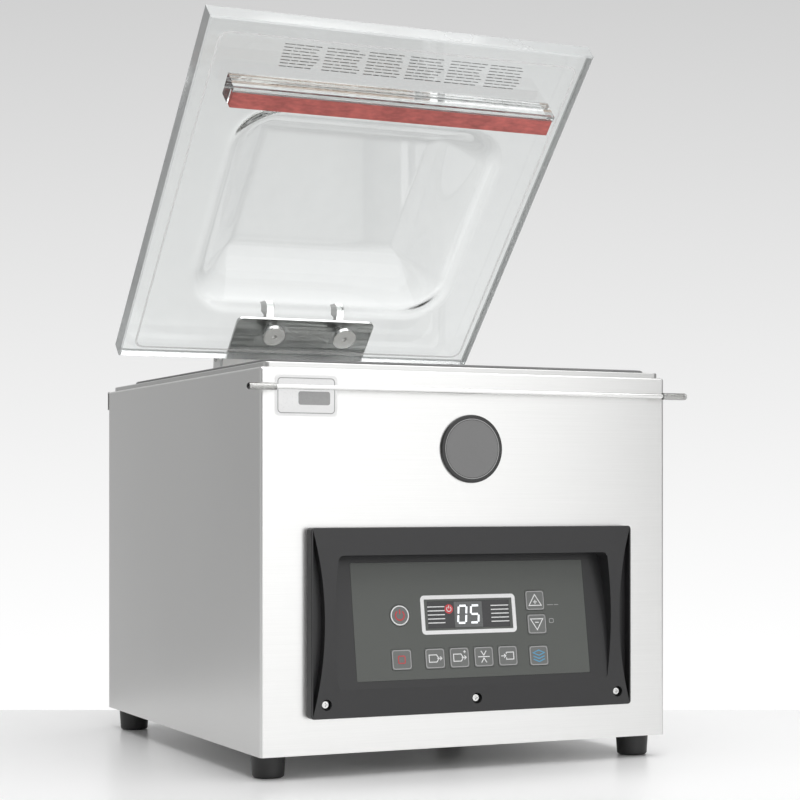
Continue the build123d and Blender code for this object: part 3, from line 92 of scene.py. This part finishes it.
def material(name, colour, rough, metal=0.0, grain=(1, 1, 1), scale=400.0, spread=0.06,
             rough_spread=0.06, relief=0.05, depth=0.0002, blotch=18.0, **more):
    """A principled shader whose colour, roughness and relief vary with two noises."""
    mat = bpy.data.materials.new(name)
    mat.use_nodes = True
    tree = mat.node_tree
    shader = tree.nodes["Principled BSDF"]
    place = tree.nodes.new("ShaderNodeTexCoord")
    stretch = tree.nodes.new("ShaderNodeMapping")
    stretch.inputs["Scale"].default_value = grain
    fine = noise(tree, scale, 4)
    wide = noise(tree, blotch, 3)
    tree.links.new(place.outputs["Object"], stretch.inputs["Vector"])
    tree.links.new(stretch.outputs["Vector"], fine.inputs["Vector"])
    tree.links.new(place.outputs["Object"], wide.inputs["Vector"])
    ramp = tree.nodes.new("ShaderNodeValToRGB")
    ramp.color_ramp.elements[0].position = NOISE_LOW
    ramp.color_ramp.elements[1].position = NOISE_HIGH
    ramp.color_ramp.elements[0].color = [max(c * (1 - spread), 0) for c in colour] + [1]
    ramp.color_ramp.elements[1].color = [min(c * (1 + spread), 1) for c in colour] + [1]
    blend = tree.nodes.new("ShaderNodeMath")
    blend.operation = "MULTIPLY_ADD"
    blend.inputs[1].default_value = 0.5
    half = tree.nodes.new("ShaderNodeMath")
    half.operation = "MULTIPLY"
    half.inputs[1].default_value = 0.5
    tree.links.new(wide.outputs["Fac"], half.inputs[0])
    tree.links.new(fine.outputs["Fac"], blend.inputs[0])
    tree.links.new(half.outputs[0], blend.inputs[2])
    tree.links.new(blend.outputs[0], ramp.inputs["Fac"])
    tree.links.new(ramp.outputs["Color"], shader.inputs["Base Color"])
    span = tree.nodes.new("ShaderNodeMapRange")
    span.inputs["From Min"].default_value = NOISE_LOW
    span.inputs["From Max"].default_value = NOISE_HIGH
    span.inputs["To Min"].default_value = max(rough - rough_spread, 0.01)
    span.inputs["To Max"].default_value = min(rough + rough_spread, 1.0)
    tree.links.new(blend.outputs[0], span.inputs["Value"])
    tree.links.new(span.outputs["Result"], shader.inputs["Roughness"])
    bump = tree.nodes.new("ShaderNodeBump")
    bump.inputs["Strength"].default_value = relief
    bump.inputs["Distance"].default_value = depth
    tree.links.new(fine.outputs["Fac"], bump.inputs["Height"])
    tree.links.new(bump.outputs["Normal"], shader.inputs["Normal"])
    shader.inputs["Metallic"].default_value = metal
    for key, value in more.items():
        shader.inputs[key.replace("_", " ")].default_value = value
    return mat


def steel(name, tone, rough, grain):
    """Brushed metal: the noise is drawn out along the axis with the small grain."""
    return material(name, (tone, tone, tone * 0.99), rough, 1.0, grain, 260, 0.035, 0.02, 0.05,
                    blotch=2.5)


def clear(name, colour, rough=0.03, **more):
    """Clear plastic, with the refractive index of acrylic."""
    return material(name, colour, rough, scale=60, spread=0.015, rough_spread=0.015, relief=0.01,
                    Transmission_Weight=1.0, IOR=ACRYLIC_IOR, **more)


ALONG_X = (0.06, 6, 6)
ALONG_Y = (6, 0.06, 6)
LOOKS = {
    "stainless": steel("stainless", 0.78, 0.3, ALONG_X),
    "stainless_inner": steel("stainless_inner", 0.66, 0.3, ALONG_Y),
    "rod_steel": steel("rod_steel", 0.8, 0.14, (20, 2, 2)),
    "fasteners": steel("fasteners", 0.7, 0.22, (3, 3, 3)),
    "clear_acrylic": clear("clear_acrylic", (0.93, 0.95, 0.945)),
    "clear_vinyl": clear("clear_vinyl", (0.9, 0.9, 0.89), 0.2),
    "red_silicone": material("red_silicone", (0.5, 0.13, 0.115), 0.6, grain=(1, 3, 3),
                             scale=120, spread=0.35, relief=0.25, blotch=55),
    "gasket_silicone": material("gasket_silicone", (0.16, 0.16, 0.16), 0.55, scale=300),
    "black_rubber": material("black_rubber", (0.018, 0.018, 0.018), 0.45, scale=500, relief=0.15),
    "black_plastic": material("black_plastic", (0.022, 0.022, 0.023), 0.36, scale=1500,
                              spread=0.15, relief=0.2),
    "panel_film": material("panel_film", (0.085, 0.091, 0.084), 0.4, scale=1400, relief=0.1),
    "key_film": material("key_film", (0.15, 0.155, 0.15), 0.42, scale=1400, relief=0.1),
    "display_tint": material("display_tint", (0.03, 0.03, 0.032), 0.16, scale=200,
                             spread=0.2, relief=0.02),
    "badge_plastic": material("badge_plastic", (0.02, 0.02, 0.02), 0.22, scale=300, relief=0.03),
    "label_paper": material("label_paper", (0.85, 0.85, 0.85), 0.3, scale=600, spread=0.03),
    "white_plastic": material("white_plastic", (0.8, 0.8, 0.78), 0.5, scale=300, relief=0.15),
    "aluminium": steel("aluminium", 0.72, 0.34, ALONG_X),
    "insulator": material("insulator", (0.4, 0.16, 0.07), 0.5, scale=300, spread=0.2),
    "seal_tape": material("seal_tape", (0.3, 0.18, 0.09), 0.45, grain=(2, 2, 2), scale=900,
                          spread=0.25, relief=0.3),
    "seal_wire": steel("seal_wire", 0.55, 0.35, ALONG_X),
    "cast_pump": material("cast_pump", (0.04, 0.055, 0.1), 0.5, scale=500, relief=0.4),
    "motor_paint": material("motor_paint", (0.07, 0.075, 0.08), 0.45, scale=500, relief=0.2),
    "shaft_steel": steel("shaft_steel", 0.62, 0.25, (20, 2, 2)),
    "fan_plastic": material("fan_plastic", (0.05, 0.05, 0.05), 0.45),
    "board": material("board", (0.03, 0.13, 0.06), 0.4, scale=200, spread=0.2),
    "core_steel": material("core_steel", (0.14, 0.14, 0.14), 0.5, 0.6, (1, 1, 30)),
    "bronze": material("bronze", (0.45, 0.3, 0.14), 0.4, 1.0, scale=500),
    "spring_steel": steel("spring_steel", 0.4, 0.3, (4, 4, 4)),
}
WHITE_INK = material("white_ink", (0.8, 0.8, 0.8), 0.5, scale=900, spread=0.03)
GREY_INK = material("grey_ink", (0.34, 0.34, 0.34), 0.5, scale=900, spread=0.1)
RED_INK = material("red_ink", (0.55, 0.05, 0.06), 0.45, scale=900, spread=0.1)
BLUE_INK = material("blue_ink", (0.1, 0.32, 0.5), 0.45, scale=900, spread=0.1)
BLOCK_INK = material("block_ink", (0.12, 0.125, 0.125), 0.3, scale=600, spread=0.08)
BADGE_FACE = material("badge_face", (0.19, 0.19, 0.19), 0.42, scale=900, spread=0.05, relief=0.0)
LAMP = material("digit_lamp", (0.85, 0.87, 0.88), 0.4, scale=600, spread=0.03,
                Emission_Color=(0.9, 0.95, 1, 1), Emission_Strength=0.5)
EDGE = material("acrylic_edge", (0.7, 0.72, 0.72), 0.24, scale=25, spread=0.03, relief=0.0,
                Transmission_Weight=0.45, IOR=ACRYLIC_IOR)
FROST = material("imprint_frost", (0.9, 0.9, 0.9), 0.5, scale=500, spread=0.04, Alpha=0.45)

for entry in frame["record"]["subparts"]:
    slots = NODES[entry["node"]].data.materials
    slots.clear()
    slots.append(LOOKS[entry["material_slot"]])


# ======================================================================
# Meshes
# ======================================================================
def add(name, verts, faces, look, body, smooth=False):
    """A closed mesh as one piece that rides on a body."""
    mesh = bpy.data.meshes.new(name)
    mesh.from_pydata([tuple(v) for v in verts], [], faces)
    mesh.materials.append(look)
    mesh.validate()
    tidy = bmesh.new()
    tidy.from_mesh(mesh)
    bmesh.ops.recalc_face_normals(tidy, faces=tidy.faces)
    tidy.to_mesh(mesh)
    tidy.free()
    for face in mesh.polygons:
        face.use_smooth = smooth
    piece = bpy.data.objects.new(name, mesh)
    bpy.context.scene.collection.objects.link(piece)
    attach(piece, body)
    return piece


def lid_point(x, y, z):
    """A point of the lid's own frame, about the hinge pin, at the open angle."""
    return PIN + Vector((x, y * math.cos(LEAN) + z * math.sin(LEAN),
                         -y * math.sin(LEAN) + z * math.cos(LEAN)))


def panel_point(u, v, w):
    """A point of the control panel, in millimetres: right, up and out of its face."""
    right = Vector((u / MM_PER_METRE, 0, 0))
    return PANEL + right + PANEL_UP * (v / MM_PER_METRE) + PANEL_OUT * (w / MM_PER_METRE)


def front_point(y_face):
    """Points on the front, in millimetres: right, up and out of the face at y_face."""
    return lambda x, z, w: Vector((x / MM_PER_METRE, y_face - w / MM_PER_METRE,
                                   z / MM_PER_METRE))


def face_level(node):
    """How far a panel piece's front stands out of the panel's plane, in millimetres."""
    levels = [(v.co - PANEL).dot(PANEL_OUT) for v in NODES[node].data.vertices]
    return max(levels) * MM_PER_METRE


def arc(cx, cy, r, start=0, end=360, steps=28):
    """Points along an arc, both ends included, with its angles in degrees."""
    return [(cx + r * math.cos(math.radians(start + (end - start) * i / steps)),
             cy + r * math.sin(math.radians(start + (end - start) * i / steps)))
            for i in range(steps + 1)]


def rounded(cx, cy, width, height, r):
    """A closed rectangle with round corners."""
    points = []
    for sx, sy, turn in ((1, 1, 0), (-1, 1, 90), (-1, -1, 180), (1, -1, 270)):
        points += arc(cx + sx * (width / 2 - r), cy + sy * (height / 2 - r), r, turn, turn + 90, 5)
    return points + [points[0]]


def printed(name, strokes, at, low, look, body, line=0.8, thick=0.12, areas=()):
    """Raised print: lines of one width along each stroke, and filled convex areas."""
    verts, faces = [], []

    def slab(outline):
        """A flat area of print, as thick as the lines."""
        base, n = len(verts), len(outline)
        verts.extend(at(x, y, low) for x, y in outline)
        verts.extend(at(x, y, low + thick) for x, y in outline)
        faces.append(tuple(base + i for i in range(n)))
        faces.append(tuple(base + n + i for i in reversed(range(n))))
        for i in range(n):
            j = (i + 1) % n
            faces.append((base + i, base + n + i, base + n + j, base + j))

    for stroke in strokes:
        closed = len(stroke) > 2 and math.dist(stroke[0], stroke[-1]) < 1e-6
        path = [Vector(p) for p in (stroke[:-1] if closed else stroke)]
        count = len(path)
        sides = []
        for i, p in enumerate(path):
            before = path[i - 1] if i or closed else p
            after = path[(i + 1) % count] if i < count - 1 or closed else p
            a = (p - before).normalized() if (p - before).length > 1e-9 else None
            b = (after - p).normalized() if (after - p).length > 1e-9 else None
            way = ((a or b) + (b or a)).normalized()
            across = Vector((-way.y, way.x))
            square = Vector((-(b or a).y, (b or a).x))
            # a mitre at each bend, kept short where the bend is sharp
            grow = min(1 / max(across.dot(square), 0.4), 2)
            sides.append((p + across * line / 2 * grow, p - across * line / 2 * grow))
        base = len(verts)
        for left, right in sides:
            for q, w in ((left, low), (right, low), (right, low + thick), (left, low + thick)):
                verts.append(at(q.x, q.y, w))
        for i in range(count if closed else count - 1):
            a, b = base + 4 * i, base + 4 * ((i + 1) % count)
            for k in range(4):
                m = (k + 1) % 4
                faces.append((a + k, a + m, b + m, b + k))
        if not closed:
            end = base + 4 * (count - 1)
            faces.append((base, base + 3, base + 2, base + 1))
            faces.append((end, end + 1, end + 2, end + 3))
    for outline in areas:
        slab(outline)
    return add(name, verts, faces, look, body)


# ======================================================================
# Clear lid: a thick sheet whose dome is drawn out of it, with chamfered edges
# ======================================================================
DOME_HALF = (0.143, 0.121)
DOME_MIDDLE = -0.2145
DOME_CORNER = 0.05
DOME_RISE = 0.052
DOME_SLOPE = 0.06
DOME_THINNING = 0.0154
EDGE_CHAMFER = 0.0014
LID_GRID = 190
CREASE_ANGLE = math.radians(28)


def dome(x, y):
    """Share of the dome's full rise, 0 to 1, from the distance inside its mouth."""
    qx = np.abs(x) - (DOME_HALF[0] - DOME_CORNER)
    qy = np.abs(y - DOME_MIDDLE) - (DOME_HALF[1] - DOME_CORNER)
    outside = np.hypot(np.maximum(qx, 0), np.maximum(qy, 0))
    inside = -(outside + np.minimum(np.maximum(qx, qy), 0) - DOME_CORNER)
    t = np.clip(inside / DOME_SLOPE, 0, 1)
    return t * t * (3 - 2 * t)


def build_lid():
    """Inner and outer face on one grid, joined all round by a wall with two chamfers."""
    chamfer = EDGE_CHAMFER
    xs = np.linspace(-LID_HALF + chamfer, LID_HALF - chamfer, LID_GRID)
    ys = np.linspace(LID_REAR - chamfer, LID_REAR - LID_LENGTH + chamfer, LID_GRID)
    gx, gy = np.meshgrid(xs, ys, indexing="ij")
    inner = LID_INNER + DOME_RISE * dome(gx, gy)
    outer = LID_OUTER + (DOME_RISE - DOME_THINNING) * dome(gx, gy)
    verts, faces = [], []
    n, m = gx.shape
    for surface in (inner, outer):
        for i in range(n):
            for j in range(m):
                verts.append(lid_point(gx[i, j], gy[i, j], surface[i, j]))
    for i in range(n - 1):
        for j in range(m - 1):
            a = i * m + j
            faces.append((a, a + 1, a + m + 1, a + m))
            b = n * m + a
            faces.append((b, b + m, b + m + 1, b + 1))
    border = ([(i, 0) for i in range(n)] + [(n - 1, j) for j in range(1, m)]
              + [(i, m - 1) for i in range(n - 2, -1, -1)] + [(0, j) for j in range(m - 2, 0, -1)])
    rings = [[i * m + j for i, j in border]]
    for level in (LID_INNER + chamfer, LID_OUTER - chamfer):
        ring = []
        for i, j in border:
            x = gx[i, j] + chamfer * ((i == n - 1) - (i == 0))
            y = gy[i, j] + chamfer * ((j == 0) - (j == m - 1))
            ring.append(len(verts))
            verts.append(lid_point(x, y, level))
        rings.append(ring)
    rings.append([n * m + i * m + j for i, j in border])
    first_edge = len(faces)
    for low, high in zip(rings, rings[1:]):
        for k in range(len(low)):
            nxt = (k + 1) % len(low)
            faces.append((low[k], low[nxt], high[nxt], high[k]))
    lid = add("clear_lid", verts, faces, LOOKS["clear_acrylic"], "lid", True)
    lid.data.materials.append(EDGE)
    for face in lid.data.polygons[first_edge:]:
        face.material_index = 1
    lid.data.set_sharp_from_angle(angle=CREASE_ANGLE)
    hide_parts("lid_plate")


build_lid()


def inner_face(x, a, w):
    """On the lid's inner face: right, and back from its hinge edge, in millimetres."""
    return lid_point(x / MM_PER_METRE, LID_REAR - a / MM_PER_METRE, LID_INNER - w / MM_PER_METRE)


def outer_face(x, a, w):
    """The same on the lid's outer face."""
    return lid_point(x / MM_PER_METRE, LID_REAR - a / MM_PER_METRE, LID_OUTER + w / MM_PER_METRE)


def care_lines(columns=6, rows=8, first=(-112, 339.5), column_step=41.5, row_step=3.3, gap=1.3):
    """Blocks of dashes in place of printed text, with uneven lengths and no wording."""
    dashes = []
    for column in range(columns):
        for row in range(rows):
            x = first[0] + column * column_step
            a = first[1] + row * row_step
            for length in (7 + (row * 5 + column) % 4, 5 + (row + column * 3) % 5, 9, 6):
                dashes.append([(x, a), (x + length, a)])
                x += length + gap
    return dashes


imprint = rounded(0, LID_LENGTH / 2 * MM_PER_METRE, 358, 362, 9)
printed("gasket_imprint", [imprint], inner_face, PRINT_LIFT, FROST, "lid",
        line=2.2, thick=0.05)
printed("care_print", care_lines(), outer_face, PRINT_LIFT, GREY_INK, "lid",
        line=0.9, thick=0.05)


# ======================================================================
# Panel print: frame, digits, outlines and plain symbols
# ======================================================================
DISPLAY_MIDDLE = (-3.3, 4.3)
BAR_ROWS, BAR_STEP = 5, 3.4
LAMP_MIDDLE = (-22, 9)
LAMP_MARK_LIFT = 0.13
DIGIT_LIFT = 0.14
POWER_GAP = (125, 415)  # where the power symbol's ring starts and ends, in degrees
KEY_ROW = -32.4  # the lower keys' height on the panel

film = face_level("control_panel") + PRINT_LIFT
glass = face_level("display_window") + PRINT_LIFT
printed("display_frame", [rounded(*DISPLAY_MIDDLE, 86.7, 29.7, 2)], panel_point, max(film, glass),
        WHITE_INK, "base", line=3.3)
printed("digit_block", [], panel_point, glass, BLOCK_INK, "base",
        areas=[[(-17, -6.8), (9.5, -6.8), (9.5, 15), (-17, 15)]])


def digit(cx, cy, lit, width=7.5, height=14.5, slant=0.1, end_gap=0.7):
    """The lit segments of one seven-segment digit, as strokes."""
    places = {
        "a": ((-1, 1), (1, 1)), "b": ((1, 1), (1, 0)), "c": ((1, 0), (1, -1)),
        "d": ((-1, -1), (1, -1)), "e": ((-1, 0), (-1, -1)), "f": ((-1, 1), (-1, 0)),
        "g": ((-1, 0), (1, 0)),
    }
    strokes = []
    for key in lit:
        ends = [Vector((cx + x * width / 2 + y * height / 2 * slant, cy + y * height / 2))
                for x, y in places[key]]
        way = (ends[1] - ends[0]).normalized() * end_gap
        strokes.append([tuple(ends[0] + way), tuple(ends[1] - way)])
    return strokes


printed("digits", digit(-9.6, 4.2, "abcdef") + digit(2.2, 4.2, "afgcd"), panel_point,
        glass + DIGIT_LIFT, LAMP, "base", line=1.7)
bars = []
for row in range(BAR_ROWS):
    v = DISPLAY_MIDDLE[1] + (row - BAR_ROWS // 2) * BAR_STEP
    bars += [[(-42, v), (-26, v)], [(18, v), (35, v)]]
printed("level_bars", bars, panel_point, glass, WHITE_INK, "base", line=0.8)
printed("on_lamp", [], panel_point, glass, RED_INK, "base",
        areas=[arc(*LAMP_MIDDLE, 4)[:-1]])


def power_symbol(cx, cy, r, stem_low, stem_high, steps):
    """A ring open at the top, with a stem in the gap."""
    return [arc(cx, cy, r, *POWER_GAP, steps), [(cx, cy + stem_low), (cx, cy + stem_high)]]


printed("on_lamp_mark", power_symbol(*LAMP_MIDDLE, 2.1, 0.4, 3, 16), panel_point,
        glass + LAMP_MARK_LIFT, WHITE_INK, "base", line=0.6)
printed("side_marks", [[(73, 10.4), (79, 10.4)], [(80, 10.4), (84, 10.4)],
                       rounded(76, -3.4, 4, 3.4, 0.8)],
        panel_point, film, GREY_INK, "base", line=0.6)


def key_print(key, cx, cy, strokes, look=WHITE_INK, ring=None, line=0.75):
    """A key's outline and symbol. Each key's node and its body have the same name."""
    level = face_level(key) + PRINT_LIFT
    outline = ring or rounded(cx, cy, 16.6, 15.4, 2.2)
    printed(key + "_outline", [outline], panel_point, level, GREY_INK if not ring else WHITE_INK,
            key, line=0.9)
    moved = [[(cx + x, cy + y) for x, y in stroke] for stroke in strokes]
    printed(key + "_symbol", moved, panel_point, level, look, key, line=line)


BAG = [[(-5.5, -3), (1.5, -3), (3.5, 0), (1.5, 3), (-5.5, 3), (-5.5, -3)]]
ARROW_OUT = [[(2, 0), (6.3, 0)], [(4.6, 1.6), (6.3, 0), (4.6, -1.6)]]
ARROW_IN = [[(-6.5, 0), (-2, 0)], [(-3.7, 1.6), (-2, 0), (-3.7, -1.6)]]
PLUS = [[(5, 3.6), (5, 6)], [(3.8, 4.8), (6.2, 4.8)]]
key_print("stop_key", -69, KEY_ROW, [rounded(0, 0, 6, 6, 0.8)], RED_INK)
key_print("vacuum_key", -38.2, KEY_ROW, BAG + ARROW_OUT)
key_print("vacuum_plus_key", -15.3, KEY_ROW, BAG + ARROW_OUT + PLUS)
key_print("seal_key", 7.8, KEY_ROW,
          [[(-5.5, 0), (5.5, 0)], [(-2.5, 5), (0, 1.2), (2.5, 5)], [(-2.5, -5), (0, -1.2), (2.5, -5)]])
key_print("air_key", 30.9, KEY_ROW,
          [[(-1.5, 3), (5.5, 3), (5.5, -3), (-1.5, -3), (-1.5, -1.4)], [(-1.5, 1.4), (-1.5, 3)]]
          + ARROW_IN)
key_print("programme_key", 61, -33.2,
          [[(-5.5, 2.4), (0, 4.6), (5.5, 2.4), (0, 0.2), (-5.5, 2.4)],
           [(-5.5, -0.4), (0, -2.6), (5.5, -0.4)], [(-5.5, -3), (0, -5.2), (5.5, -3)]],
          BLUE_INK, line=1.0)
key_print("up_key", 61, 14.5,
          [[(-6, -4.4), (6, -4.4), (0, 5), (-6, -4.4)], [(-1.8, -1.4), (1.8, -1.4)],
           [(0, -3.2), (0, 0.4)]])
key_print("down_key", 61.4, -6,
          [[(-6, 4.4), (6, 4.4), (0, -5), (-6, 4.4)], [(-1.8, 1.4), (1.8, 1.4)]])
key_print("power_key", -68.2, 4.6,
          power_symbol(0, 0, 4, 1, 5, 22), RED_INK,
          ring=arc(-68.2, 4.6, 7.9), line=1.1)


# ======================================================================
# Front trim: plain badge face and plain label, neither carries a mark
# ======================================================================
def front_middle(node):
    """A front piece's middle, across and up in millimetres, and the level of its face."""
    low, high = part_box(node)
    return (low.x + high.x) / 2 * MM_PER_METRE, (low.z + high.z) / 2 * MM_PER_METRE, low.y


badge_x, badge_z, badge_face = front_middle("front_badge")
on_badge = front_point(badge_face)
printed("badge_disc", [], on_badge, PRINT_LIFT, BADGE_FACE, "base",
        areas=[arc(badge_x, badge_z, 24.5, steps=56)[:-1]], thick=0.2)
printed("badge_ring", [arc(badge_x, badge_z, 25.3, steps=56)], on_badge, PRINT_LIFT, GREY_INK,
        "base", line=0.7, thick=0.25)
label_x, label_z, label_face = front_middle("front_label")
printed("label_border", [rounded(label_x, label_z, 50, 28.5, 3)], front_point(label_face),
        PRINT_LIFT, GREY_INK, "base", line=0.7, thick=0.05,
        areas=[rounded(label_x + 7, label_z - 2, 28, 11, 2)[:-1]])

# ======================================================================
# Spring: a copy of the CAD spring's mesh, with its placement baked in, shown in place of the CAD piece
# ======================================================================
spring = bpy.data.objects.new("double_spring", NODES["lid_spring"].data.copy())
bpy.context.scene.collection.objects.link(spring)
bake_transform(spring)
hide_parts("lid_spring")


# ======================================================================
# Studio
# ======================================================================
def plain(name, tone, rough, glow=0.0):
    """An even grey for the studio's own surfaces."""
    mat = material(name, (tone, tone, tone), rough, scale=3, spread=0.01, rough_spread=0.004,
                   relief=0.0, blotch=1.0)
    shader = mat.node_tree.nodes["Principled BSDF"]
    shader.inputs["Emission Color"].default_value = (1, 1, 1, 1)
    shader.inputs["Emission Strength"].default_value = glow
    return mat


YAW = math.radians(24.84)
EYE = Vector((-0.756, -1.7018, 0.2306))
LENS = 88.2
UPWARD_SHIFT = 0.122
AHEAD = Vector((math.sin(YAW), math.cos(YAW), 0))
ASIDE = Vector((math.cos(YAW), -math.sin(YAW), 0))
FLOOR_DROP = 0.0002
FLOOR_NEAR, FLOOR_FAR, FLOOR_HALF = 2, 2.13, 4
WALL_AHEAD, WALL_DROP, WALL_HALF = 5, 1.5, 2.6
WALL_HEIGHT = Vector((0, 0, 4.5))


def sheet(name, corners, mat):
    """One flat face of the studio, which isn't part of the object."""
    mesh = bpy.data.meshes.new(name)
    mesh.from_pydata([tuple(c) for c in corners], [], [(0, 1, 2, 3)])
    mesh.materials.append(mat)
    made = bpy.data.objects.new(name, mesh)
    bpy.context.scene.collection.objects.link(made)
    return made


ground = Vector((EYE.x, EYE.y, -FLOOR_DROP))
near, far = ground - AHEAD * FLOOR_NEAR, ground + AHEAD * FLOOR_FAR
side = ASIDE * FLOOR_HALF
sheet("floor", [near - side, near + side, far + side, far - side], plain("table_top", 0.93, 0.3))
back = ground + AHEAD * WALL_AHEAD - Vector((0, 0, WALL_DROP))
side = ASIDE * WALL_HALF

# the backdrop glows by itself, brighter low down, and its own colour is kept dark
wall = plain("backdrop", 0.8, 1.0)
tree = wall.node_tree
where = tree.nodes.new("ShaderNodeTexCoord")
split = tree.nodes.new("ShaderNodeSeparateXYZ")
fade = tree.nodes.new("ShaderNodeMapRange")
fade.inputs["From Min"].default_value = -0.2
fade.inputs["From Max"].default_value = 1.5
fade.inputs["To Min"].default_value = 1.0
fade.inputs["To Max"].default_value = 0.62
tree.links.new(where.outputs["Object"], split.inputs["Vector"])
tree.links.new(split.outputs["Z"], fade.inputs["Value"])
backdrop_shader = tree.nodes["Principled BSDF"]
tree.links.new(fade.outputs["Result"], backdrop_shader.inputs["Emission Strength"])
for link in list(backdrop_shader.inputs["Base Color"].links):
    tree.links.remove(link)
backdrop_shader.inputs["Base Color"].default_value = (0.02, 0.02, 0.02, 1)
sheet("backdrop", [back - side, back + side, back + side + WALL_HEIGHT, back - side + WALL_HEIGHT],
      wall)

world = bpy.data.worlds.new("studio")
bpy.context.scene.world = world
world.use_nodes = True
world.node_tree.nodes["Background"].inputs["Color"].default_value = (0.62, 0.62, 0.62, 1)
world.node_tree.nodes["Background"].inputs["Strength"].default_value = 0.6


def soft_light(name, place, aim, size, power):
    """A rectangular lamp of a given power, in watts, turned towards a point."""
    data = bpy.data.lights.new(name, "AREA")
    data.shape = "RECTANGLE"
    data.size, data.size_y = size
    data.energy = power
    lamp = bpy.data.objects.new(name, data)
    lamp.location = place
    lamp.rotation_euler = (Vector(aim) - Vector(place)).to_track_quat("-Z", "Y").to_euler()
    bpy.context.scene.collection.objects.link(lamp)


soft_light("front_box", place=(0.5, -2.6, 0.9), aim=(0, 0, 0.25), size=(2.2, 2.6), power=20)
soft_light("top_box", place=(0.1, -0.5, 2.4), aim=(0, 0, 0.3), size=(2.6, 2.6), power=52)
soft_light("left_fill", place=(-2.6, 0.6, 1.0), aim=(0, 0, 0.2), size=(1.6, 1.8), power=3)

camera_data = bpy.data.cameras.new("camera")
camera_data.sensor_width = 36
camera_data.lens = LENS
camera_data.shift_y = UPWARD_SHIFT
camera = bpy.data.objects.new("camera", camera_data)
camera.location = EYE
camera.rotation_euler = (math.radians(90), 0, -YAW)
bpy.context.scene.collection.objects.link(camera)
bpy.context.scene.camera = camera
bpy.context.scene.view_settings.view_transform = "Standard"
